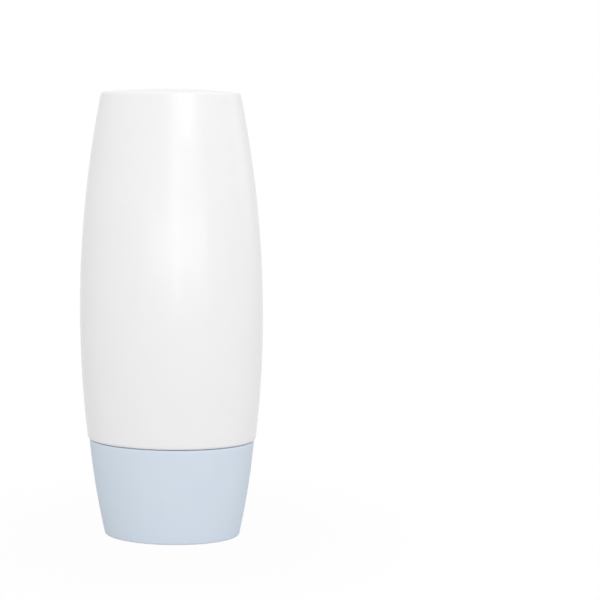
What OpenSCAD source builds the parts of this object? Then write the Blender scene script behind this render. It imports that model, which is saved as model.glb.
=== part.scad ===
// Oval sunscreen bottle that stands on its screw cap.
// The foot of the cap lies on Z = 0 and +Z runs up through the neck to the crown.
// X is the width and Y the depth. All sizes are in millimetres.

/* [Overall] */
// Height of the bottle standing on its cap
total_h = 110; // [96:1:134]
// Width of the bottle at its widest place
belly_w = 45; // [41:0.5:54]
// Depth of the bottle at its widest place
belly_d = 28; // [27:0.5:34]
// Height of the widest place above the foot
belly_z = 54; // [44:1:65]
// Radius of the bow of the narrow sides, seen from the front
side_r = 270; // [220:10:500]

/* [Bottle] */
// Wall of the blown bottle
bottle_wall = 1; // [0.7:0.1:1.4]
// Thickness of the shoulder round the neck
shoulder_wall = 1.2; // [0.8:0.1:1.8]
// Radius of the shallow dome on the crown
crown_r = 175; // [120:5:400]
// Rounding where the side turns into the crown
lip_r = 0.9; // [0.5:0.1:2.5]
// Rounding of the edge that hangs over the cap
skirt_r = 0.8; // [0.4:0.1:1.5]
// Rounding of the corners inside the bottle
inside_r = 1.5; // [0.8:0.1:3]

/* [Neck] */
// Diameter of the neck between its thread turns
neck_d = 15.8; // [14:0.1:16.2]
// Wall of the neck
neck_wall = 1.3; // [1.1:0.1:2.2]
// Length of the neck from the shoulder to its end
neck_h = 10.5; // [9:0.5:12]
// Height that the thread stands off the neck
thread_depth = 0.9; // [0.6:0.1:1.2]
// Height that the stop bead stands off the neck
bead_depth = 0.7; // [0.4:0.1:0.9]
// Height of the stop bead
bead_h = 1.1; // [0.8:0.1:1.6]
// Plain neck left between the stop bead and the shoulder
bead_gap = 1.6; // [1.2:0.1:2]

/* [Outer cap] */
// Height of the cap, up to the seam
cap_h = 24; // [22:0.5:29]
// How far each side of the cap's foot lies inside the bottle's widest place
foot_inset = 5.7; // [3.5:0.05:6.25]
// Radius of the bow of the cap's sides
cap_side_r = 195; // [120:5:400]
// Wall of the outer cap
cap_wall = 1.2; // [0.9:0.1:1.4]
// Floor of the outer cap above its foot recess
cap_floor = 1.4; // [1:0.1:2]
// How far the cap's edge lies inside the bottle's edge
cap_step = 0.4; // [0:0.1:1]
// Gap between the cap's edge and the bottle's shoulder
seam_gap = 0.2; // [0.1:0.05:0.4]
// Depth of the recess under the foot
foot_recess = 0.6; // [0.3:0.1:1]
// Width of the rim that the bottle stands on
foot_rim = 1.8; // [1.2:0.1:3]
// Rounding of the cap's foot
foot_r = 0.5; // [0.3:0.1:1]
// Rounding of the cap's upper edge
edge_r = 0.3; // [0.2:0.05:0.5]
// Rounding of the corner inside the cap
cap_inside_r = 1; // [0.6:0.1:1.5]

/* [Inner cap] */
// Wall of the inner cap
inner_wall = 1.3; // [1.1:0.1:1.5]
// Floor of the inner cap
inner_floor = 1.2; // [0.8:0.1:1.6]
// Height of the inner cap's mouth below the seam
mouth_drop = 0.8; // [0.6:0.1:1.2]
// Thickness of the sealing liner
liner_t = 1; // [0.6:0.1:1.5]
// Number of ribs that hold the inner cap
rib_count = 6; // [4:2:8]
// Thickness of a rib
rib_t = 1; // [0.8:0.1:1.4]
// Depth of the grooves that take the ribs
groove_depth = 0.45; // [0.3:0.05:0.6]
// How far the catch that holds the liner stands into the bore
catch_depth = 0.45; // [0.4:0.05:0.6]
// How far each rib hooks over the mouth of the inner cap
hook = 0.4; // [0.2:0.1:0.5]
// Radius left open under the inner cap, inside the ribs
shelf_r = 5; // [3:0.5:7]

/* [Nozzle plug] */
// Thickness of the flange on the end of the neck
flange_t = 0.8; // [0.6:0.1:1.2]
// Depth that the plug reaches into the neck
cup_depth = 5.2; // [4.6:0.1:6.5]
// Wall of the plug's cup
cup_wall = 0.9; // [0.7:0.1:1.2]
// Outer diameter of the nozzle
nozzle_d = 5.6; // [4.4:0.1:6]
// Diameter of the orifice
orifice_d = 3.6; // [1.5:0.1:4]
// Height of the first sealing bead above the end of the neck
seal_start = 1.6; // [1:0.1:1.8]
// Distance from the first sealing bead to the second
seal_pitch = 1.8; // [1.2:0.1:2]
// How far the sealing beads stand out of the cup
seal_bead = 0.1; // [0.05:0.01:0.15]
// Height of the stays that keep the ball off the orifice
stay_h = 0.8; // [0.5:0.1:1.2]
// Thickness of a stay
stay_t = 0.8; // [0.6:0.1:1]

/* [Ball] */
// Diameter of the mixing ball
ball_d = 6; // [5:0.5:8]

/* [Clearances] */
// Gap between the thread turns of the neck and of the inner cap
thread_gap = 0.15; // [0.1:0.05:0.25]
// Gap between faces that meet or part
face_gap = 0.05; // [0.03:0.01:0.1]
// Gap beside the ribs and round the plug
side_gap = 0.05; // [0.03:0.01:0.1]

/* [Hidden] */
$fn = 96;

// Steps along the long bow of the bottle's side, and round every other arc
bow_steps = 14;
round_steps = 5;
// Chamfer on the small edges of the closure, and the smaller one on its beads
chamfer = 0.3;
bead_chamfer = 0.2;
// How far the neck widens at its root, and how far the liner's edge lies under its catch
root_flare = 0.4;
liner_bite = 0.1;
// Drop from the cap's edge to the top of its ribs
rib_drop = 0.15;
// Small overlap of solids that are one piece
weld = 0.3;
// More than half the width of anything here
beyond = 60;

// Heights, from the foot up
shoulder_z = cap_h + seam_gap;
neck_z = shoulder_z - neck_h;
face_z = neck_z - flange_t;
liner_z = face_z - face_gap - liner_t;
inner_z = liner_z - face_gap - inner_floor;
mouth_z = cap_h - mouth_drop;
shelf_z = inner_z - face_gap;
cap_floor_z = foot_recess + cap_floor;
plug_top_z = neck_z + cup_depth;

// The bore and the stop bead follow the neck
neck_bore = neck_d - 2 * neck_wall;
bead_d = neck_d + 2 * bead_depth;

// Radii of the closure, from the axis out
neck_r = neck_d / 2;
crest_r = neck_r + thread_depth;
bore_r = crest_r + thread_gap;
inner_r = bore_r + inner_wall;
groove_r = inner_r - groove_depth;
liner_r = bore_r - catch_depth + liner_bite;
plug_r = neck_bore / 2 - side_gap;

// The ball touches the inner ends of the stays
stay_r = orifice_d / 2 + stay_t / 2;
ball_z = plug_top_z + stay_h + sqrt(pow(ball_d / 2, 2) - pow(stay_r, 2)) + face_gap;

// Circles that draw the sides and the crown, seen from the front
side_c = [belly_w / 2 - side_r, belly_z];
crown_c = [0, total_h - crown_r];
cap_edge_x = side_x(shoulder_z) - cap_step;
cap_foot_w = belly_w - 2 * foot_inset;
cap_side_c = bow_centre([cap_foot_w / 2, 0], [cap_edge_x, cap_h], cap_side_r);

// The oval sections: depth over width, outside and inside a wall
depth_ratio = belly_d / belly_w;
bottle_inside_ratio = inside_ratio((belly_w / 2 + side_x(total_h)) / 2, bottle_wall);
cap_inside_ratio = inside_ratio((cap_foot_w / 2 + cap_edge_x) / 2, cap_wall);

function inside_ratio(x, wall) = (depth_ratio * x - wall) / (x - wall);

// Half width of the bottle at a height
function side_x(z) = side_c[0] + sqrt(pow(side_r, 2) - pow(z - belly_z, 2));

// Centre of the circle of radius r that bows outwards from p up to q
function bow_centre(p, q, r) =
    let (half = (q - p) / 2, back = sqrt(r * r - half * half))
    p + half + back * [-half[1], half[0]] / norm(half);

// The crossing of two circles on the left of the way from c1 to c2, in X and Z
function crossing(c1, r1, c2, r2) =
    let (way = c2 - c1, d = norm(way), u = way / d)
    let (s = (r1 * r1 - r2 * r2 + d * d) / (2 * d))
    c1 + s * u + sqrt(r1 * r1 - s * s) * [-u[1], u[0]];

// The point at height z on a circle, on its right side
function right_of(c, r, z) = [c[0] + sqrt(r * r - pow(z - c[1], 2)), z];

function angle_of(v) = atan2(v[1], v[0]);

// Points along an arc from angle a to angle b, with both ends
function arc(c, r, a, b, steps = round_steps) =
    [for (i = [0:steps]) on_circle(c, r, a + (b - a) * i / steps)];

// The same without its ends, for an arc that runs on from its neighbours
function between(c, r, a, b, steps) =
    [for (i = [1:steps - 1]) on_circle(c, r, a + (b - a) * i / steps)];

function on_circle(c, r, turn) = c + r * [cos(turn), sin(turn)];

// An oval solid: a profile turned about Z in four quarters, each pressed flat in Y
module oval(ratio) {
    for (quarter = [0:3])
        scale([1, ratio, 1])
            rotate(90 * quarter)
                rotate_extrude(angle = 90)
                    children();
}

// Half the bottle seen from the front, drawn in by a wall from its outer face
module bottle_profile(wall, base_z, base_r, top_r) {
    base_c = right_of(side_c, side_r - wall - base_r, base_z + base_r);
    top_c = crossing(side_c, side_r - wall - top_r, crown_c, crown_r - wall - top_r);
    base_turn = angle_of(base_c - side_c);
    top_turn = angle_of(top_c - side_c);
    crown_turn = angle_of(top_c - crown_c);
    polygon(concat(
        [[0, base_z]],
        arc(base_c, base_r, -90, base_turn),
        between(side_c, side_r - wall, base_turn, top_turn, bow_steps),
        arc(top_c, top_r, top_turn, crown_turn),
        between(crown_c, crown_r - wall, crown_turn, 90, round_steps),
        [[0, total_h - wall]]
    ));
}

// Half the outer cap seen from the front, drawn in by a wall from its outer face
module cap_profile(wall, base_z, base_r, top_z, top_r) {
    base_c = right_of(cap_side_c, cap_side_r - wall - base_r, base_z + base_r);
    top_c = right_of(cap_side_c, cap_side_r - wall - top_r, top_z - top_r);
    base_turn = angle_of(base_c - cap_side_c);
    top_turn = angle_of(top_c - cap_side_c);
    polygon(concat(
        [[0, base_z]],
        arc(base_c, base_r, -90, base_turn),
        between(cap_side_c, cap_side_r - wall, base_turn, top_turn, round_steps),
        arc(top_c, top_r, top_turn, 90),
        [[0, top_z]]
    ));
}

// The neck with its root and its stop bead, before it is bored
module neck() {
    root_r = neck_r + root_flare;
    bead_r = bead_d / 2;
    bead_top_z = shoulder_z - bead_gap;
    bead_z = bead_top_z - bead_h;
    rotate_extrude()
        polygon([
            [0, neck_z],
            [neck_r - chamfer, neck_z],
            [neck_r, neck_z + chamfer],
            [neck_r, bead_z - bead_depth],
            [bead_r, bead_z],
            [bead_r, bead_top_z - bead_chamfer],
            [bead_r - bead_chamfer, bead_top_z],
            [neck_r, bead_top_z],
            [neck_r, shoulder_z - root_flare],
            [root_r, shoulder_z],
            [root_r, shoulder_z + weld],
            [0, shoulder_z + weld]
        ]);
}

// Blown bottle: an even wall, a shallow crown, a flat shoulder and the neck
module bottle() {
    inside_z = shoulder_z + shoulder_wall;
    color([0.97, 0.97, 0.97])
        difference() {
            union() {
                oval(depth_ratio) bottle_profile(0, shoulder_z, skirt_r, lip_r);
                neck();
            }
            oval(bottle_inside_ratio) bottle_profile(bottle_wall, inside_z, inside_r, inside_r);
            translate([0, 0, neck_z - weld])
                cylinder(d = neck_bore, h = inside_z - neck_z + 2 * weld);
        }
}

// The sealing beads round the plug's cup, as points of its profile
function seal_points(half_h = 0.5) = [
    for (z = [neck_z + seal_start, neck_z + seal_start + seal_pitch], side = [-1:1])
        [plug_r + (side == 0 ? seal_bead : 0), z + side * half_h]
];

// Nozzle plug: a flange on the neck, a cup pressed into it and a nozzle level with the flange
module nozzle_plug() {
    nozzle_r = nozzle_d / 2;
    cup_r = plug_r - cup_wall;
    cup_z = plug_top_z - cup_wall;
    stay_end = plug_r - 4 * chamfer;
    color([0.93, 0.94, 0.95]) {
        rotate_extrude()
            polygon(concat(
                [
                    [orifice_d / 2, face_z],
                    [nozzle_r - chamfer, face_z],
                    [nozzle_r, face_z + chamfer],
                    [nozzle_r, cup_z],
                    [cup_r, cup_z],
                    [cup_r, face_z + chamfer],
                    [cup_r + chamfer, face_z],
                    [neck_r - chamfer, face_z],
                    [neck_r, face_z + chamfer],
                    [neck_r, neck_z],
                    [plug_r, neck_z]
                ],
                seal_points(),
                [
                    [plug_r, plug_top_z - chamfer],
                    [plug_r - chamfer, plug_top_z],
                    [orifice_d / 2, plug_top_z]
                ]
            ));
        for (turn = [45:90:315])
            rotate(turn)
                translate([stay_r, -stay_t / 2, plug_top_z - weld])
                    cube([stay_end - stay_r, stay_t, stay_h + weld]);
    }
}

// Steel ball that stirs the milk when the bottle is shaken
module mixing_ball() {
    color([0.75, 0.76, 0.78])
        translate([0, 0, ball_z])
            sphere(d = ball_d);
}

// Foam disc on which the nozzle seals
module cap_liner() {
    color([0.96, 0.96, 0.94])
        translate([0, 0, liner_z])
            cylinder(r = liner_r, h = liner_t);
}

// Grooves and plates share these turns, so that each rib lies in its groove
module at_each_rib() {
    for (i = [0:rib_count - 1])
        rotate(360 * i / rib_count)
            children();
}

// Inner cap: the threaded cup that closes on the neck, held by the ribs of the outer cap
module inner_cap() {
    floor_z = inner_z + inner_floor;
    catch_r = bore_r - catch_depth;
    catch_z = face_z + chamfer;
    color([0.95, 0.96, 0.96])
        difference() {
            rotate_extrude()
                polygon([
                    [0, inner_z],
                    [inner_r - chamfer, inner_z],
                    [inner_r, inner_z + chamfer],
                    [inner_r, mouth_z],
                    [bore_r + chamfer, mouth_z],
                    [bore_r, mouth_z - chamfer],
                    [bore_r, catch_z + 2 * bead_chamfer],
                    [catch_r, catch_z + bead_chamfer],
                    [catch_r, catch_z],
                    [bore_r, catch_z - bead_chamfer],
                    [bore_r, floor_z],
                    [0, floor_z]
                ]);
            at_each_rib()
                translate([groove_r, -rib_t / 2 - side_gap, inner_z - weld])
                    cube([inner_wall, rib_t + 2 * side_gap, mouth_z - inner_z + 2 * weld]);
        }
}

// Ribs that carry the inner cap on a shelf, turn it by its grooves and hook over its mouth
module cap_ribs() {
    rib_top_z = cap_h - rib_drop;
    hook_z = mouth_z + face_gap;
    tip_r = groove_r + side_gap;
    hook_r = tip_r - hook;
    back_r = inner_r + 1;
    back_drop = 1.6;
    intersection() {
        oval(cap_inside_ratio)
            cap_profile(cap_wall - weld, cap_floor_z - weld, cap_inside_r, rib_top_z, edge_r);
        at_each_rib()
            rotate([90, 0, 0])
                linear_extrude(rib_t, center = true)
                    polygon([
                        [shelf_r, 0],
                        [shelf_r, shelf_z],
                        [tip_r, shelf_z],
                        [tip_r, hook_z],
                        [hook_r, hook_z],
                        [tip_r, rib_top_z],
                        [back_r, rib_top_z],
                        [back_r + back_drop, rib_top_z - back_drop],
                        [beyond, rib_top_z - back_drop],
                        [beyond, 0]
                    ]);
    }
}

// Outer cap: an oval cup that tapers to the foot, with a recess under it and ribs inside
module outer_cap() {
    recess_x = cap_foot_w / 2 - foot_rim;
    above_z = cap_h + 2;
    color([0.78, 0.85, 0.91]) {
        difference() {
            oval(depth_ratio) cap_profile(0, 0, foot_r, cap_h, edge_r);
            oval(cap_inside_ratio) cap_profile(cap_wall, cap_floor_z, cap_inside_r, above_z, edge_r);
            oval(inside_ratio(cap_foot_w / 2, foot_rim))
                polygon([
                    [0, -weld],
                    [recess_x, -weld],
                    [recess_x, 0],
                    [recess_x - foot_recess / 2, foot_recess],
                    [0, foot_recess]
                ]);
        }
        cap_ribs();
    }
}

bottle();
nozzle_plug();
mixing_ball();
cap_liner();
inner_cap();
outer_cap();
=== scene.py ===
from math import atan2, ceil, cos, hypot, pi, radians, sin, sqrt, tan, tau

import bmesh
import bpy
import numpy as np
from mathutils import Matrix, Vector

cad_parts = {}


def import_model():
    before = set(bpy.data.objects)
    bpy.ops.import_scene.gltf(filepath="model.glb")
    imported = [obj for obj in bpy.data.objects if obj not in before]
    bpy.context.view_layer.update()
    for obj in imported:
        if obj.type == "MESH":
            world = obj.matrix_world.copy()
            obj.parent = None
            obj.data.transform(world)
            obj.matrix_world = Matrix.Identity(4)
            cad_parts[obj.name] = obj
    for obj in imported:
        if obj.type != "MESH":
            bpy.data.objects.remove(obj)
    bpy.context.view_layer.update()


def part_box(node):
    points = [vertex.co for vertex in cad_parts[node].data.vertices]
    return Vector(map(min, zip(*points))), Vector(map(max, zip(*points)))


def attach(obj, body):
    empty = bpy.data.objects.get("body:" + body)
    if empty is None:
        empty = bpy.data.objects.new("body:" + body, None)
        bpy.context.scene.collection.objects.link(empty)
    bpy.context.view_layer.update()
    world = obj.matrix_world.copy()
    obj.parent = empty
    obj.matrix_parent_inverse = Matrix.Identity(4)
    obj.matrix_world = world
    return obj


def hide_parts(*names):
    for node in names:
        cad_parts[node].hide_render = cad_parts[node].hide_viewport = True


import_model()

# Sunscreen bottle that stands on its screw cap, as smooth meshes with procedural materials.
# All sizes are in millimetres in the row frame, and MM turns them into metres.
MM = 0.001


def box_of(node):
    """Lowest and highest corner of a node, in millimetres."""
    low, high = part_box(node)
    return Vector(low) / MM, Vector(high) / MM


# Heights and widths that the frame gives
BOTTLE_LOW, BOTTLE_HIGH = box_of("bottle")
INNER_LOW, INNER_HIGH = box_of("inner_cap")
LINER_LOW, LINER_HIGH = box_of("cap_liner")
PLUG_LOW, PLUG_HIGH = box_of("nozzle_plug")
BALL_LOW, BALL_HIGH = box_of("mixing_ball")
TOTAL_H = BOTTLE_HIGH.z
BELLY_HALF = BOTTLE_HIGH.x
DEPTH_RATIO = BOTTLE_HIGH.y / BOTTLE_HIGH.x
CAP_H = box_of("outer_cap")[1].z
NECK_Z = BOTTLE_LOW.z
NECK_R = PLUG_HIGH.x

# Bottle
SEAM_GAP = 0.2
SHOULDER_Z = CAP_H + SEAM_GAP
BELLY_Z = 54
SIDE_R = 270
CROWN_R = 175
LIP_R = 0.9
SKIRT_R = 0.8
WALL = 1.0
SHOULDER_WALL = 1.2
INSIDE_Z = SHOULDER_Z + SHOULDER_WALL
INSIDE_R = 1.5

# Neck and its thread, which has two starts
NECK_BORE_R = 6.6
ROOT_FLARE = 0.4
MOUTH_R = 0.3
THREAD_DEPTH = 0.9
PITCH = 3.0
STARTS = 2
THREAD_START_Z = NECK_Z + 1.25
NECK_THREAD_RISE = 5.2
CAP_THREAD_RISE = 3.9
BEAD_R = 8.6
BEAD_H = 1.1
BEAD_GAP = 1.6

# Outer cap
CAP_FOOT_HALF = 16.8
CAP_SIDE_R = 195
CAP_WALL = 1.2
CAP_FLOOR = 1.4
CAP_STEP = 0.4
FOOT_RECESS = 0.6
CAP_FLOOR_Z = FOOT_RECESS + CAP_FLOOR
FOOT_RIM = 1.8
FOOT_R = 0.5
EDGE_R = 0.3
CAP_INSIDE_R = 1.0

# Inner cap and the ribs that hold it
BORE_R = 8.95
INNER_FLOOR = 1.2
INNER_R = 10.25
RIB_COUNT = 6
RIB_T = 1.0
RIB_DROP = 0.15
GROOVE_DEPTH = 0.45
SHELF_R = 5.0
CATCH_DEPTH = 0.45
HOOK = 0.4
FACE_GAP = 0.05
SIDE_GAP = 0.05

# Nozzle plug
PLUG_R = NECK_BORE_R - SIDE_GAP
CUP_DEPTH = 5.2
CUP_WALL = 0.9
CUP_R = PLUG_R - CUP_WALL
NOZZLE_R = 2.8
ORIFICE_R = 1.8
SEAL_START = 1.6
SEAL_PITCH = 1.8
SEAL_BEAD = 0.05
STAY_T = 0.8
STAY_COUNT = 4

# The innermost ring beside a pole, and how near two radii count as the same
POLE_R = 0.1
SAME_R = 0.02


# Outlines


def on_circle(centre, radius, turn):
    return (centre[0] + radius * cos(turn), centre[1] + radius * sin(turn))


def arc(centre, radius, start, end, steps):
    """Points along an arc, with both ends."""
    return [on_circle(centre, radius, start + (end - start) * i / steps) for i in range(steps + 1)]


def right_of(centre, radius, z):
    """The point at height z on a circle, on its right side."""
    return (centre[0] + sqrt(radius**2 - (z - centre[1]) ** 2), z)


def angle_of(point, centre):
    return atan2(point[1] - centre[1], point[0] - centre[0])


def crossing(c1, r1, c2, r2):
    """The crossing of two circles on the left of the way from c1 to c2."""
    way = (c2[0] - c1[0], c2[1] - c1[1])
    far = hypot(*way)
    u = (way[0] / far, way[1] / far)
    s = (r1**2 - r2**2 + far**2) / (2 * far)
    h = sqrt(r1**2 - s**2)
    return (c1[0] + s * u[0] - h * u[1], c1[1] + s * u[1] + h * u[0])


def bow_centre(p, q, radius):
    """Centre of the circle that bows outwards from p up to q."""
    half = ((q[0] - p[0]) / 2, (q[1] - p[1]) / 2)
    back = sqrt(radius**2 - half[0] ** 2 - half[1] ** 2) / hypot(*half)
    return (p[0] + half[0] - back * half[1], p[1] + half[1] + back * half[0])


SIDE_C = (BELLY_HALF - SIDE_R, BELLY_Z)
CROWN_C = (0, TOTAL_H - CROWN_R)
CAP_TOP_HALF = right_of(SIDE_C, SIDE_R, SHOULDER_Z)[0] - CAP_STEP
CAP_SIDE_C = bow_centre((CAP_FOOT_HALF, 0), (CAP_TOP_HALF, CAP_H), CAP_SIDE_R)
BOW_STEPS = 64
ROUND_STEPS = 8
CROWN_STEPS = 26


def bottle_outline(wall, base_z, base_r, top_r):
    """Half the bottle seen from the front, from the rounding of its base up to the crown's middle."""
    base_c = right_of(SIDE_C, SIDE_R - wall - base_r, base_z + base_r)
    top_c = crossing(SIDE_C, SIDE_R - wall - top_r, CROWN_C, CROWN_R - wall - top_r)
    base_turn = angle_of(base_c, SIDE_C)
    top_turn = angle_of(top_c, SIDE_C)
    crown_turn = angle_of(top_c, CROWN_C)
    points = arc(base_c, base_r, -pi / 2, base_turn, ROUND_STEPS)
    points += arc(SIDE_C, SIDE_R - wall, base_turn, top_turn, BOW_STEPS)[1:-1]
    points += arc(top_c, top_r, top_turn, crown_turn, ROUND_STEPS)
    crown = arc(CROWN_C, CROWN_R - wall, crown_turn, pi / 2, CROWN_STEPS)[1:]
    return points, crown


def cap_outline(wall, base_z, base_r, top_z, top_r):
    """Half the outer cap seen from the front, from the rounding of its foot up to its edge."""
    base_c = right_of(CAP_SIDE_C, CAP_SIDE_R - wall - base_r, base_z + base_r)
    top_c = right_of(CAP_SIDE_C, CAP_SIDE_R - wall - top_r, top_z - top_r)
    base_turn = angle_of(base_c, CAP_SIDE_C)
    top_turn = angle_of(top_c, CAP_SIDE_C)
    points = arc(base_c, base_r, -pi / 2, base_turn, ROUND_STEPS)
    points += arc(CAP_SIDE_C, CAP_SIDE_R - wall, base_turn, top_turn, BOW_STEPS // 2)[1:-1]
    points += arc(top_c, top_r, top_turn, pi / 2, ROUND_STEPS // 2)
    return points


def inside_ratio(x, wall):
    """Depth over width inside a wall, for an outside that reaches x from the middle."""
    return (DEPTH_RATIO * x - wall) / (x - wall)


def rounded(corners, steps=4):
    """A path through corners (x, z, radius), with an arc at each corner whose radius isn't 0."""
    path = []
    for i, (x, z, radius) in enumerate(corners):
        if radius == 0 or i in (0, len(corners) - 1):
            path.append((x, z))
            continue
        here = Vector((x, z))
        back = (Vector(corners[i - 1][:2]) - here).normalized()
        ahead = (Vector(corners[i + 1][:2]) - here).normalized()
        half_angle = back.angle(ahead) / 2
        reach = radius / tan(half_angle)
        centre = here + (back + ahead).normalized() * (radius / sin(half_angle))
        start = here + back * reach - centre
        end = here + ahead * reach - centre
        sweep = start.angle_signed(end)
        for k in range(steps + 1):
            turn = -sweep * k / steps
            path.append(
                (
                    centre.x + start.x * cos(turn) - start.y * sin(turn),
                    centre.y + start.x * sin(turn) + start.y * cos(turn),
                )
            )
    return path


def spaced(path, step):
    """The same path with points added, so that none of its stretches is longer than step."""
    out = [path[0]]
    for p, q in zip(path, path[1:]):
        count = max(1, ceil(hypot(q[0] - p[0], q[1] - p[1]) / step))
        for k in range(1, count + 1):
            out.append((p[0] + (q[0] - p[0]) * k / count, p[1] + (q[1] - p[1]) * k / count))
    return out


# Meshes


def columns(count, at=(), near=()):
    """Even angles round the axis, and finer ones at the offsets near on both sides of each in at."""
    turns = [tau * i / count for i in range(count)]
    if not near:
        return np.array(turns)
    # Even angles within reach of a centre would crowd the finer ones
    spare = 0.6
    reach = max(near) + spare * (tau / count)
    for centre in at:
        turns = [t for t in turns if abs((t - centre + pi) % tau - pi) > reach]
        turns += [(centre + side * off) % tau for off in near for side in (-1, 1) if off > 0]
        if 0 in near:
            turns.append(centre % tau)
    return np.array(sorted(set(turns)))


def oval_rings(semi_axes, turns):
    """Rings of points for (a, b, z) each, as an array of rings, columns and X, Y, Z."""
    a, b, z = (np.array(v, float)[:, None] for v in zip(*semi_axes))
    around = np.ones_like(turns)
    return np.stack([a * np.cos(turns), b * np.sin(turns), z * around], -1)


def round_axes(path):
    """Half axes and height for each point of a path that is turned round the axis."""
    return [(x, x, z) for x, z in path]


def passing(start, end, z, shares):
    """Half axes at one height that pass from one pair to another."""
    return [(start[0] + (end[0] - start[0]) * s, start[1] + (end[1] - start[1]) * s, z) for s in shares]


def skin(name, rings, wrap=False):
    """A closed mesh over rings of points, which wraps round or is shut by a pole at each end."""
    count, around = rings.shape[:2]
    points = rings.reshape(-1, 3)
    faces = []
    last = count if wrap else count - 1
    for i in range(last):
        low, high = i * around, (i + 1) % count * around
        for j in range(around):
            k = (j + 1) % around
            faces.append((low + j, low + k, high + k, high + j))
    if not wrap:
        for ring, flip in ((0, True), (count - 1, False)):
            middle = len(points)
            points = np.vstack([points, rings[ring].mean(0)])
            for j in range(around):
                edge = (ring * around + j, ring * around + (j + 1) % around)
                faces.append((middle, *edge[::-1]) if flip else (middle, *edge))
    mesh = bpy.data.meshes.new(name)
    mesh.from_pydata((points * MM).tolist(), [], faces)
    mesh.validate()
    return mesh


def outward(mesh):
    """Turns all faces outwards."""
    work = bmesh.new()
    work.from_mesh(mesh)
    bmesh.ops.recalc_face_normals(work, faces=work.faces)
    if work.calc_volume(signed=True) < 0:
        bmesh.ops.reverse_faces(work, faces=work.faces)
    work.to_mesh(mesh)
    work.free()


def smooth(mesh, limit=32):
    """Smooth shading, with edges sharper than limit degrees kept."""
    work = bmesh.new()
    work.from_mesh(mesh)
    for face in work.faces:
        face.smooth = True
    for edge in work.edges:
        edge.smooth = len(edge.link_faces) == 2 and edge.calc_face_angle(0) < radians(limit)
    work.to_mesh(mesh)
    work.free()


def piece(name, mesh, body, node, material):
    """Puts a finished mesh on its body in the place of a node."""
    outward(mesh)
    smooth(mesh)
    obj = bpy.data.objects.new(name, mesh)
    bpy.context.scene.collection.objects.link(obj)
    mesh.materials.clear()
    mesh.materials.append(material)
    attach(obj, body)
    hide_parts(node)


def joined(base, adds):
    """The union of a closed mesh with others, which are then gone."""
    obj = bpy.data.objects.new("base", base)
    bpy.context.scene.collection.objects.link(obj)
    tools = []
    for mesh in adds:
        tool = bpy.data.objects.new("tool", mesh)
        bpy.context.scene.collection.objects.link(tool)
        tools.append(tool)
        step = obj.modifiers.new("join", "BOOLEAN")
        step.operation = "UNION"
        step.solver = "EXACT"
        step.object = tool
    graph = bpy.context.evaluated_depsgraph_get()
    result = bpy.data.meshes.new_from_object(obj.evaluated_get(graph))
    for used in [obj, *tools]:
        bpy.data.objects.remove(used)
    return result


def bar(corners, thickness, bevel):
    """A plate that stands on the XZ plane: an outline pulled both ways in Y, with its edges rounded."""
    work = bmesh.new()
    front = [work.verts.new((x * MM, -thickness / 2 * MM, z * MM)) for x, z in corners]
    face = work.faces.new(front)
    pulled = bmesh.ops.extrude_face_region(work, geom=[face])
    moved = [v for v in pulled["geom"] if isinstance(v, bmesh.types.BMVert)]
    bmesh.ops.translate(work, verts=moved, vec=(0, thickness * MM, 0))
    bmesh.ops.recalc_face_normals(work, faces=work.faces)
    edges = list(work.edges)
    bmesh.ops.bevel(work, geom=edges, offset=bevel * MM, segments=2, profile=0.5, affect="EDGES")
    mesh = bpy.data.meshes.new("bar")
    work.to_mesh(mesh)
    work.free()
    return mesh


def turned(mesh, turn):
    """The same mesh, turned about the upright axis."""
    mesh.transform(Matrix.Rotation(turn, 4, "Z"))
    return mesh


# Thread


def ease(t):
    """A soft step from 0 to 1 as t goes from 0 to 1."""
    t = np.clip(t, 0, 1)
    return t * t * (3 - 2 * t)


def band(off, half, edge):
    """1 as far as half from a line, and softly down to 0 over the edge past it."""
    return 1 - ease((off - half) / edge)


def thread(turns, z, start_z, rise, crest=0.5, flank=0.62, fade=0.5):
    """Height of the thread's ridges, from 0 to 1, over angles and heights.

    A ridge has a crest and two flanks, in millimetres, and runs out softly over fade radians.
    """
    lane = tau / STARTS
    climb = PITCH / lane
    total = turns + lane * np.round(((z - start_z) / climb - turns) / lane)
    away = np.abs(z - start_z - climb * total)
    full = rise / climb
    ends = ease(total / fade + 0.5) * ease((full - total) / fade + 0.5)
    return band(away, crest / 2, flank) * ends


# Materials


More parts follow.
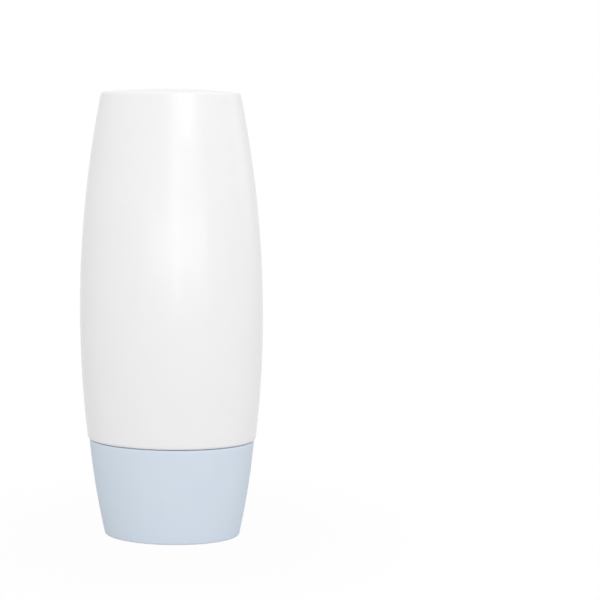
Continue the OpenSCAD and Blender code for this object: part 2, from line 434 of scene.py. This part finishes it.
class Nodes:
    """A material's node tree, with short calls for the nodes used here."""

    def __init__(self, name):
        self.material = bpy.data.materials.new(name)
        self.material.use_nodes = True
        self.tree = self.material.node_tree
        self.shader = self.tree.nodes["Principled BSDF"]
        coordinates = self.tree.nodes.new("ShaderNodeTexCoord")
        self.place = coordinates.outputs["Object"]

    def link(self, out, into):
        self.tree.links.new(out, into)

    def stretched(self, scale):
        """The object's own coordinates, scaled along each axis."""
        node = self.tree.nodes.new("ShaderNodeMapping")
        node.inputs["Scale"].default_value = scale
        self.link(self.place, node.inputs["Vector"])
        return node.outputs["Vector"]

    def noise(self, size, detail=2.0, scale=(1, 1, 1), roughness=0.5):
        """Noise whose lumps are about size millimetres wide."""
        node = self.tree.nodes.new("ShaderNodeTexNoise")
        node.inputs["Scale"].default_value = 1 / (size * MM)
        node.inputs["Detail"].default_value = detail
        node.inputs["Roughness"].default_value = roughness
        self.link(self.stretched(scale), node.inputs["Vector"])
        return node.outputs["Fac"]

    def spread(self, value, low, high):
        """Maps the middle of a noise onto low to high."""
        node = self.tree.nodes.new("ShaderNodeMapRange")
        node.inputs["From Min"].default_value = 0.3
        node.inputs["From Max"].default_value = 0.7
        node.inputs["To Min"].default_value = low
        node.inputs["To Max"].default_value = high
        self.link(value, node.inputs["Value"])
        return node.outputs["Result"]

    def rise(self, value, start, over, amount):
        """A value plus an amount that comes in above the height start, within over millimetres."""
        parts = self.tree.nodes.new("ShaderNodeSeparateXYZ")
        self.link(self.place, parts.inputs["Vector"])
        step = self.tree.nodes.new("ShaderNodeMapRange")
        step.inputs["From Min"].default_value = start * MM
        step.inputs["From Max"].default_value = (start + over) * MM
        step.inputs["To Max"].default_value = amount
        self.link(parts.outputs["Z"], step.inputs["Value"])
        total = self.tree.nodes.new("ShaderNodeMath")
        total.operation = "ADD"
        self.link(value, total.inputs[0])
        self.link(step.outputs["Result"], total.inputs[1])
        return total.outputs["Value"]

    def blend(self, amount, first, second):
        """The first colour where amount is 0, and the second where it is 1."""
        node = self.tree.nodes.new("ShaderNodeMix")
        node.data_type = "RGBA"
        node.inputs["A"].default_value = (*first, 1)
        node.inputs["B"].default_value = (*second, 1)
        self.link(amount, node.inputs["Factor"])
        return node.outputs["Result"]

    def bump(self, layers):
        """Bumps on each other, from (height, depth in millimetres) each."""
        normal = None
        for height, depth in layers:
            node = self.tree.nodes.new("ShaderNodeBump")
            node.inputs["Distance"].default_value = depth * MM
            self.link(height, node.inputs["Height"])
            if normal is not None:
                self.link(normal, node.inputs["Normal"])
            normal = node.outputs["Normal"]
        self.link(normal, self.shader.inputs["Normal"])

    def set(self, **values):
        """Sets the shader's own sockets, with _ for each space in a socket's name."""
        for name, value in values.items():
            self.shader.inputs[name.replace("_", " ")].default_value = value


def moulded(name, light, dark, roughness, grain, grain_depth, dull_above=None, **more):
    """Moulded plastic: a faint cloud in its colour, an uneven sheen, a fine grain and slow waves.

    Above the height dull_above the surface is duller, as the pinched end of a blown bottle is.
    """
    cloud_size, sheen_size, wave_size = 9, 2.5, 11
    sheen_spread = 0.02
    wave_depth = 0.02
    m = Nodes(name)
    cloud = m.noise(cloud_size, 3)
    grains = m.noise(grain, 2, roughness=0.6)
    m.link(m.blend(m.spread(cloud, 0, 1), dark, light), m.shader.inputs["Base Color"])
    sheen = m.spread(m.noise(sheen_size, 3), roughness - sheen_spread, roughness + sheen_spread)
    if dull_above is not None:
        sheen = m.rise(sheen, dull_above, over=0.15, amount=0.11)
    m.link(sheen, m.shader.inputs["Roughness"])
    waves = m.noise(wave_size, 1, scale=(1, 1, 0.4))
    m.bump([(waves, wave_depth), (grains, grain_depth)])
    m.set(IOR=1.5, **more)
    return m.material


def bottle_white():
    """Blown white bottle, satin under a thin gloss."""
    dull_band = 0.8
    return moulded(
        "bottle_white",
        light=(0.905, 0.905, 0.905),
        dark=(0.893, 0.893, 0.893),
        roughness=0.235,
        grain=0.22,
        grain_depth=0.004,
        dull_above=TOTAL_H - dull_band,
        Specular_IOR_Level=0.3,
        Coat_Weight=0.4,
        Coat_Roughness=0.17,
    )


def cap_blue():
    """Pale blue cap, duller than the bottle."""
    return moulded(
        "outer_cap_blue",
        light=(0.68, 0.765, 0.86),
        dark=(0.667, 0.752, 0.85),
        roughness=0.5,
        grain=0.18,
        grain_depth=0.003,
        Specular_IOR_Level=0.6,
    )


def inner_white():
    """Plain white closure, from a polished mould."""
    return moulded(
        "inner_cap_white",
        light=(0.87, 0.88, 0.88),
        dark=(0.85, 0.865, 0.87),
        roughness=0.24,
        grain=0.3,
        grain_depth=0.002,
    )


def plug_natural():
    """Uncoloured plug that lets a little light in."""
    return moulded(
        "plug_natural",
        light=(0.85, 0.86, 0.87),
        dark=(0.82, 0.835, 0.85),
        roughness=0.34,
        grain=0.25,
        grain_depth=0.003,
        Subsurface_Weight=0.25,
        Subsurface_Scale=0.0015,
    )


def foam():
    """Fine closed-cell foam: small pits between its cells."""
    cell_size, speck_size = 0.22, 0.08
    m = Nodes("liner_foam")
    cells = m.tree.nodes.new("ShaderNodeTexVoronoi")
    cells.inputs["Scale"].default_value = 1 / (cell_size * MM)
    m.link(m.place, cells.inputs["Vector"])
    colour = m.blend(m.spread(m.noise(1.2, 4), 0, 1), (0.87, 0.87, 0.85), (0.92, 0.92, 0.9))
    m.link(colour, m.shader.inputs["Base Color"])
    m.bump([(cells.outputs["Distance"], 0.02), (m.noise(speck_size, 2), 0.005)])
    m.set(Roughness=0.8, IOR=1.45)
    return m.material


def steel():
    """Ball polished in a drum: bright, with very fine scratches and a faint cloud."""
    cloud_size, sheen_size, scratch_size = 1.5, 0.4, 0.15
    m = Nodes("ball_steel")
    colour = m.blend(m.spread(m.noise(cloud_size, 3), 0, 1), (0.6, 0.6, 0.61), (0.68, 0.68, 0.69))
    m.link(colour, m.shader.inputs["Base Color"])
    m.link(m.spread(m.noise(sheen_size, 4), 0.14, 0.24), m.shader.inputs["Roughness"])
    m.bump([(m.noise(scratch_size, 3, scale=(1, 6, 1)), 0.0012)])
    m.set(Metallic=1.0)
    return m.material


# Bottle


def seam_ridge(off):
    """The parting line: a fine ridge between two shallow grooves, by the distance from its middle."""
    depth, half = 0.05, 0.22
    u = off / half
    return -depth * u**2 * np.exp(1 - u**2)


def bottle_mesh():
    """The bottle's skin in one run: crown, side, shoulder, neck, bore and inside."""
    seam_offsets = (0, 0.08, 0.16, 0.25, 0.36, 0.5, 0.7)
    scar_rings = (3.2, 2.5, 1.9, 1.4, 1.0, 0.7, 0.45, 0.25, POLE_R)
    turns = columns(208, (0, pi), [off / (BELLY_HALF * DEPTH_RATIO) for off in seam_offsets])
    outer, crown = bottle_outline(0, SHOULDER_Z, SKIRT_R, LIP_R)
    inner, inner_crown = bottle_outline(WALL, INSIDE_Z, INSIDE_R, INSIDE_R)
    ratio_in = inside_ratio((BELLY_HALF + outer[-1][0]) / 2, WALL)
    # The crown's rings close up towards its middle, where the scar of the pinched tube lies
    crown = crown[:-4] + [(x, crown_z(x)) for x in scar_rings]
    axes = [(x, x * DEPTH_RATIO, z) for x, z in reversed(outer + crown)]
    skirt = axes[-1][:2]
    root_r = NECK_R + ROOT_FLARE
    axes += passing(skirt, (root_r, root_r), SHOULDER_Z, (0.15, 0.3, 0.45, 0.6, 0.75, 0.88))
    axes += round_axes(neck_path(root_r))
    first_inside = len(axes)
    mouth_r = NECK_BORE_R + MOUTH_R
    inner_x = inner[0][0]
    axes += passing((mouth_r, mouth_r), (inner_x, inner_x * ratio_in), INSIDE_Z, (0.1, 0.25, 0.5, 0.75))
    axes += [(x, x * ratio_in, z) for x, z in inner + inner_crown[:-1]]
    rings = oval_rings(axes, turns)
    outside = rings[:first_inside]
    mark_seam(outside)
    mark_scar(outside)
    cut_thread(outside, turns)
    return skin("bottle_skin", rings)


def crown_z(x):
    """Height of the crown's dome at a distance from its middle."""
    return CROWN_C[1] + sqrt(CROWN_R**2 - x**2)


def neck_path(root_r):
    """The neck from the shoulder down to its end and up its bore, with the stop bead."""
    bead_top = SHOULDER_Z - BEAD_GAP
    bead_low = bead_top - BEAD_H
    bead_slope = 0.7
    path = rounded(
        [
            (root_r, SHOULDER_Z, 0),
            (NECK_R, SHOULDER_Z - ROOT_FLARE, 0.3),
            (NECK_R, bead_top, 0.15),
            (BEAD_R, bead_top, 0.2),
            (BEAD_R, bead_low, 0.25),
            (NECK_R, bead_low - bead_slope, 0.3),
            (NECK_R, NECK_Z, 0.3),
            (NECK_BORE_R, NECK_Z, 0.2),
            (NECK_BORE_R, INSIDE_Z, MOUTH_R),
            (NECK_BORE_R + 2 * MOUTH_R, INSIDE_Z, 0),
        ]
    )
    # The last corner only gives the mouth's rounding its direction
    return spaced(path[:-1], 0.12)


def mark_seam(rings):
    """Draws the parting line down both narrow sides of the body."""
    above_shoulder, side_start = 0.01, 5
    x, y, z = rings[..., 0], rings[..., 1], rings[..., 2]
    side = (z > SHOULDER_Z + above_shoulder) & (np.abs(x) > side_start)
    x += np.where(side, np.sign(x) * seam_ridge(np.abs(y)), 0)


def mark_scar(rings):
    """Draws the scar on the crown, where the mould pinched the tube shut: a flat ridge in a shallow dip."""
    half_length, height, crown_depth = 11.0, 0.05, 1.2
    dip_half, dip_edge, dip_end = 0.7, 1.2, 1.5
    ridge_half, ridge_edge, ridge_end = 0.14, 0.16, 0.4
    x, y, z = rings[..., 0], rings[..., 1], rings[..., 2]
    dip = height * band(np.abs(y), dip_half, dip_edge) * band(np.abs(x), half_length, dip_end)
    flat_length = half_length - ridge_end
    ridge = height * band(np.abs(y), ridge_half, ridge_edge) * band(np.abs(x), flat_length, ridge_end)
    z += np.where(z > TOTAL_H - crown_depth, ridge - dip, 0)


def cut_thread(rings, turns):
    """Raises the two starts of the thread on the neck, between its bare end and the stop bead."""
    bare_end, lead_in, below_bead = 0.35, 0.3, 0.5
    x, y, z = rings[..., 0], rings[..., 1], rings[..., 2]
    r = np.hypot(x, y)
    top_z = SHOULDER_Z - BEAD_GAP - BEAD_H - below_bead
    neck = (np.abs(r - NECK_R) < SAME_R) & (z < top_z)
    ridge = thread(turns[None, :], z, THREAD_START_Z, NECK_THREAD_RISE)
    height = ridge * THREAD_DEPTH * ease((z - NECK_Z - bare_end) / lead_in)
    grow = np.where(neck, 1 + height / r, 1)
    x *= grow
    y *= grow


# Caps


def outer_cap_mesh():
    """The oval cup from the middle of its foot recess to the middle of its floor, and its ribs."""
    outer = cap_outline(0, 0, FOOT_R, CAP_H, EDGE_R)
    inside = cap_outline(CAP_WALL, CAP_FLOOR_Z, CAP_INSIDE_R, CAP_H, EDGE_R)
    ratio_in = inside_ratio((CAP_FOOT_HALF + CAP_TOP_HALF) / 2, CAP_WALL)
    recess_x = CAP_FOOT_HALF - FOOT_RIM
    recess_ratio = inside_ratio(CAP_FOOT_HALF, FOOT_RIM)
    rim_x = outer[0][0]
    recess = rounded(
        [
            (POLE_R, FOOT_RECESS, 0),
            (recess_x - FOOT_RECESS / 2, FOOT_RECESS, 0.25),
            (recess_x, 0, 0.12),
            (rim_x, 0, 0),
        ]
    )
    axes = []
    for x, z in spaced(recess, 1.4)[:-1]:
        share = min(1, max(0, (x - recess_x) / (rim_x - recess_x)))
        ratio = recess_ratio + (DEPTH_RATIO - recess_ratio) * share
        axes.append((x, x * ratio, z))
    axes += [(x, x * DEPTH_RATIO, z) for x, z in outer]
    wall_in = inside[::-1]
    wall_in[0] = (wall_in[0][0], CAP_H)
    axes += [(x, x * ratio_in, z) for x, z in wall_in]
    floor_x = wall_in[-1][0]
    axes += [(floor_x * s, floor_x * s * ratio_in, CAP_FLOOR_Z) for s in (0.8, 0.6, 0.4, 0.2, 0.05)]
    shell = skin("outer_cap_skin", oval_rings(axes, columns(208)))
    outward(shell)
    rib_turns = [tau * i / RIB_COUNT for i in range(RIB_COUNT)]
    return joined(shell, [turned(rib_mesh(turn, ratio_in), turn) for turn in rib_turns])


def wall_reach(turn, z, ratio):
    """Distance from the axis to about the middle of the cap's wall, at an angle and a height."""
    share = 0.45
    inner_x = right_of(CAP_SIDE_C, CAP_SIDE_R - CAP_WALL, z)[0]
    return inner_x / hypot(cos(turn), sin(turn) / ratio) + share * CAP_WALL


def rib_mesh(turn, ratio):
    """One rib, drawn on the XZ plane: it carries the inner cap on a shelf and hooks over its mouth."""
    sunk, corner_h, corner_w = 0.5, 1.5, 1.2
    drop, short_of_wall = 1.6, 0.2
    floor_z = CAP_FLOOR_Z - sunk
    shelf_z = INNER_LOW.z - FACE_GAP
    hook_z = INNER_HIGH.z + FACE_GAP
    top_z = CAP_H - RIB_DROP
    tip = INNER_R - GROOVE_DEPTH + SIDE_GAP
    back = INNER_R + 1
    wall = [(wall_reach(turn, z, ratio), z) for z in np.linspace(top_z - drop, floor_z + corner_h, 5)]
    # The rib's back drops at 45 degrees, and ends short of the wall where that is near
    slope = min(drop, wall[0][0] - short_of_wall - back)
    corners = [
        (SHELF_R, floor_z),
        (SHELF_R, shelf_z),
        (tip, shelf_z),
        (tip, hook_z),
        (tip - HOOK, hook_z),
        (tip, top_z),
        (back, top_z),
        (back + slope, top_z - slope),
        *wall,
        (wall[-1][0] - corner_w, floor_z),
    ]
    return bar(corners, RIB_T, bevel=0.1)


def inner_cap_mesh():
    """The round cup with its grooves for the ribs, its thread and the catch over the liner."""
    rib_lane = tau / RIB_COUNT
    half_groove = (RIB_T / 2 + SIDE_GAP) / INNER_R
    groove_offsets = [half_groove * s for s in (0, 0.5, 0.96, 1.04, 1.5)]
    turns = columns(216, [rib_lane * i for i in range(RIB_COUNT)], groove_offsets)
    floor_z = INNER_LOW.z + INNER_FLOOR
    catch_rise, above_catch = 0.3, 0.8
    catch_z = PLUG_LOW.z + catch_rise
    path = rounded(
        [
            (POLE_R, INNER_LOW.z, 0),
            (INNER_R, INNER_LOW.z, 0.3),
            (INNER_R, INNER_HIGH.z, 0.25),
            (BORE_R, INNER_HIGH.z, 0.3),
            (BORE_R, catch_z + 0.4, 0.1),
            (BORE_R - CATCH_DEPTH, catch_z + 0.1, 0.12),
            (BORE_R, catch_z - 0.2, 0.1),
            (BORE_R, floor_z, 0.1),
            (POLE_R, floor_z, 0),
        ]
    )
    # The walls need close rings, and the flat faces keep one in nine of them
    wall_start = BORE_R - 0.6
    path = [p for i, p in enumerate(spaced(path, 0.13)) if p[0] > wall_start or i % 9 == 0]
    rings = oval_rings(round_axes(path), turns)
    x, y, z = rings[..., 0], rings[..., 1], rings[..., 2]
    r = np.hypot(x, y)
    bore = (np.abs(r - BORE_R) < SAME_R) & (z > catch_z + above_catch)
    ridge = thread(turns[None, :], z, THREAD_START_Z + PITCH / 2, CAP_THREAD_RISE) * THREAD_DEPTH
    new_r = np.where(bore, r - ridge, r)
    off = np.abs((turns[None, :] + rib_lane / 2) % rib_lane - rib_lane / 2)
    groove = (off < half_groove) & (r > INNER_R - GROOVE_DEPTH)
    new_r = np.where(groove, INNER_R - GROOVE_DEPTH, new_r)
    x *= new_r / r
    y *= new_r / r
    return skin("inner_cap_skin", rings)


def liner_mesh():
    """The disc, with the rings that the plug's flange and nozzle pressed into it."""
    r = LINER_HIGH.x
    low, high = LINER_LOW.z, LINER_HIGH.z
    pressed = high - 0.04
    edge, slope = 0.05, 0.1
    path = rounded(
        [
            (POLE_R, low, 0),
            (r, low, 0.12),
            (r, high, 0.12),
            (NECK_R + edge, high, 0.05),
            (NECK_R - edge, pressed, 0.05),
            (CUP_R + edge, pressed, 0.05),
            (CUP_R - slope, high, 0.05),
            (NOZZLE_R + slope, high, 0.05),
            (NOZZLE_R - edge, pressed, 0.05),
            (ORIFICE_R + slope, pressed, 0.05),
            (ORIFICE_R - slope, high, 0.05),
            (POLE_R, high, 0),
        ],
        3,
    )
    return skin("cap_liner_skin", oval_rings(round_axes(spaced(path, 0.6)), columns(160)))


# Plug and ball


def plug_mesh():
    """The plug's flange, cup and nozzle, with two sealing beads and the stays that hold the ball off."""
    bead_half, stay_inset, stay_sunk = 0.5, 1.2, 0.3
    face_z = PLUG_LOW.z
    top_z = NECK_Z + CUP_DEPTH
    cup_z = top_z - CUP_WALL
    middle_z = (face_z + top_z) / 2
    seals = []
    for z in (NECK_Z + SEAL_START, NECK_Z + SEAL_START + SEAL_PITCH):
        seals += [(PLUG_R, z - bead_half, 0.2), (PLUG_R + SEAL_BEAD, z, 0.3), (PLUG_R, z + bead_half, 0.2)]
    corners = [
        (ORIFICE_R, middle_z, 0),
        (ORIFICE_R, face_z, 0.12),
        (NOZZLE_R, face_z, 0.25),
        (NOZZLE_R, cup_z, 0.3),
        (CUP_R, cup_z, 0.4),
        (CUP_R, face_z, 0.3),
        (NECK_R, face_z, 0.2),
        (NECK_R, NECK_Z, 0.1),
        (PLUG_R, NECK_Z, 0.1),
        *seals,
        (PLUG_R, top_z, 0.3),
        (ORIFICE_R, top_z, 0.15),
        (ORIFICE_R, middle_z + 0.1, 0),
    ]
    rings = oval_rings(round_axes(spaced(rounded(corners), 0.5)), columns(144))
    body = skin("nozzle_plug_skin", rings, wrap=True)
    outward(body)
    start, end = ORIFICE_R + STAY_T / 2, PLUG_R - stay_inset
    low, high = top_z - stay_sunk, PLUG_HIGH.z
    outline = [(start, low), (start, high), (end, high), (end, low)]
    stay_turns = [tau * (i + 0.5) / STAY_COUNT for i in range(STAY_COUNT)]
    stays = [turned(bar(outline, STAY_T, bevel=0.08), turn) for turn in stay_turns]
    return joined(body, stays)


def ball_mesh():
    """A ball from a cube's faces cut fine and blown round, so that it has no poles."""
    work = bmesh.new()
    bmesh.ops.create_cube(work, size=2)
    bmesh.ops.subdivide_edges(work, edges=work.edges[:], cuts=23, use_grid_fill=True)
    centre = (BALL_LOW + BALL_HIGH) / 2
    radius = (BALL_HIGH.z - BALL_LOW.z) / 2
    for v in work.verts:
        warped = Vector([tan(c * pi / 4) for c in v.co])
        v.co = (centre + warped.normalized() * radius) * MM
    mesh = bpy.data.meshes.new("mixing_ball_skin")
    work.to_mesh(mesh)
    work.free()
    return mesh


piece("bottle_shell", bottle_mesh(), "bottle", "bottle", bottle_white())
piece("outer_cap_shell", outer_cap_mesh(), "cap", "outer_cap", cap_blue())
piece("inner_cap_cup", inner_cap_mesh(), "cap", "inner_cap", inner_white())
piece("liner_disc", liner_mesh(), "liner", "cap_liner", foam())
piece("nozzle_insert", plug_mesh(), "bottle", "nozzle_plug", plug_natural())
piece("steel_ball", ball_mesh(), "ball", "mixing_ball", steel())


# Studio


def camera():
    """The photograph's camera, with the place and tilt that the outlines of both bottles give."""
    focal_px, frame_px, sensor = 1497, 600, 36
    right, away, height = -31.49, 363.06, 108.93
    yaw, pitch, roll = radians(-3.67), radians(7.82), radians(0.51)
    data = bpy.data.cameras.new("camera")
    data.sensor_width = sensor
    data.lens = sensor * focal_px / frame_px
    obj = bpy.data.objects.new("camera", data)
    turn = Matrix.Rotation(-yaw, 4, "Z")
    place = Matrix.Translation(Vector((-right, -away, height)) * MM)
    tilt = Matrix.Rotation(pi / 2 - pitch, 4, "X") @ Matrix.Rotation(roll, 4, "Z")
    obj.matrix_world = turn @ place @ tilt
    bpy.context.scene.collection.objects.link(obj)
    bpy.context.scene.camera = obj


def lamp(name, azimuth, elevation, distance, width, height, strength):
    """A soft box aimed at the bottle's middle. Azimuth 0 is in front of it and 90 on its right."""
    data = bpy.data.lights.new(name, "AREA")
    data.shape = "RECTANGLE"
    data.size, data.size_y = width, height
    data.energy = strength
    obj = bpy.data.objects.new(name, data)
    a, e = radians(azimuth), radians(elevation)
    away = Vector((sin(a) * cos(e), -cos(a) * cos(e), sin(e)))
    obj.location = Vector((0, 0, TOTAL_H / 2 * MM)) + away * distance
    obj.rotation_euler = away.to_track_quat("Z", "Y").to_euler()
    bpy.context.scene.collection.objects.link(obj)


def seen_directly(tree):
    """1 for what the camera sees straight, in a reflection or through glass, and 0 for light that falls."""
    path = tree.nodes.new("ShaderNodeLightPath")
    most = path.outputs["Is Camera Ray"]
    for other in ("Is Glossy Ray", "Is Transmission Ray"):
        node = tree.nodes.new("ShaderNodeMath")
        node.operation = "MAXIMUM"
        tree.links.new(most, node.inputs[0])
        tree.links.new(path.outputs[other], node.inputs[1])
        most = node.outputs["Value"]
    return most


def world(strength):
    """Even white light, and a white background."""
    data = bpy.data.worlds.new("world")
    bpy.context.scene.world = data
    data.use_nodes = True
    tree = data.node_tree
    light = tree.nodes["Background"]
    light.inputs["Color"].default_value = (1, 1, 1, 1)
    light.inputs["Strength"].default_value = strength
    white = tree.nodes.new("ShaderNodeBackground")
    white.inputs["Color"].default_value = (1, 1, 1, 1)
    mix = tree.nodes.new("ShaderNodeMixShader")
    tree.links.new(seen_directly(tree), mix.inputs["Fac"])
    tree.links.new(light.outputs["Background"], mix.inputs[1])
    tree.links.new(white.outputs["Background"], mix.inputs[2])
    tree.links.new(mix.outputs["Shader"], tree.nodes["World Output"].inputs["Surface"])


def floor():
    """A white table top that keeps the bottle's shadow and turns into the white background away from it."""
    mesh = bpy.data.meshes.new("floor")
    half = 6
    near, far = 0.026, 0.08
    white_near = 0.97
    grey = 0.5
    under_foot = 0.02 * MM
    corners = [(-half, -half, 0), (half, -half, 0), (half, half, 0), (-half, half, 0)]
    mesh.from_pydata(corners, [], [(0, 1, 2, 3)])
    obj = bpy.data.objects.new("floor", mesh)
    obj.location.z = -under_foot
    bpy.context.scene.collection.objects.link(obj)
    material = bpy.data.materials.new("floor_white")
    material.use_nodes = True
    tree = material.node_tree
    matt = tree.nodes.new("ShaderNodeBsdfDiffuse")
    matt.inputs["Color"].default_value = (grey, grey, grey, 1)
    glow = tree.nodes.new("ShaderNodeEmission")
    place = tree.nodes.new("ShaderNodeTexCoord")
    away = tree.nodes.new("ShaderNodeVectorMath")
    away.operation = "LENGTH"
    tree.links.new(place.outputs["Object"], away.inputs[0])
    fade = tree.nodes.new("ShaderNodeMapRange")
    fade.interpolation_type = "SMOOTHSTEP"
    fade.inputs["From Min"].default_value = near
    fade.inputs["From Max"].default_value = far
    fade.inputs["To Min"].default_value = white_near
    fade.inputs["To Max"].default_value = 1
    tree.links.new(away.outputs["Value"], fade.inputs["Value"])
    share = tree.nodes.new("ShaderNodeMath")
    share.operation = "MULTIPLY"
    tree.links.new(seen_directly(tree), share.inputs[0])
    tree.links.new(fade.outputs["Result"], share.inputs[1])
    mix = tree.nodes.new("ShaderNodeMixShader")
    tree.links.new(share.outputs["Value"], mix.inputs["Fac"])
    tree.links.new(matt.outputs["BSDF"], mix.inputs[1])
    tree.links.new(glow.outputs["Emission"], mix.inputs[2])
    tree.links.new(mix.outputs["Shader"], tree.nodes["Material Output"].inputs["Surface"])
    mesh.materials.append(material)


camera()
world(strength=0.84)
floor()
lamp("strip", azimuth=3, elevation=8, distance=0.45, width=0.035, height=0.36, strength=0.08)
lamp("slanted_box", azimuth=14, elevation=31, distance=1.3, width=0.3, height=0.9, strength=2.3)
lamp("front_box", azimuth=12, elevation=16, distance=1.3, width=0.8, height=0.8, strength=1.5)
lamp("right_box", azimuth=98, elevation=15, distance=1.3, width=0.7, height=0.7, strength=0.9)
lamp("low_box", azimuth=4, elevation=1, distance=0.6, width=0.6, height=0.08, strength=0.28)
bpy.context.scene.view_settings.view_transform = "Standard"
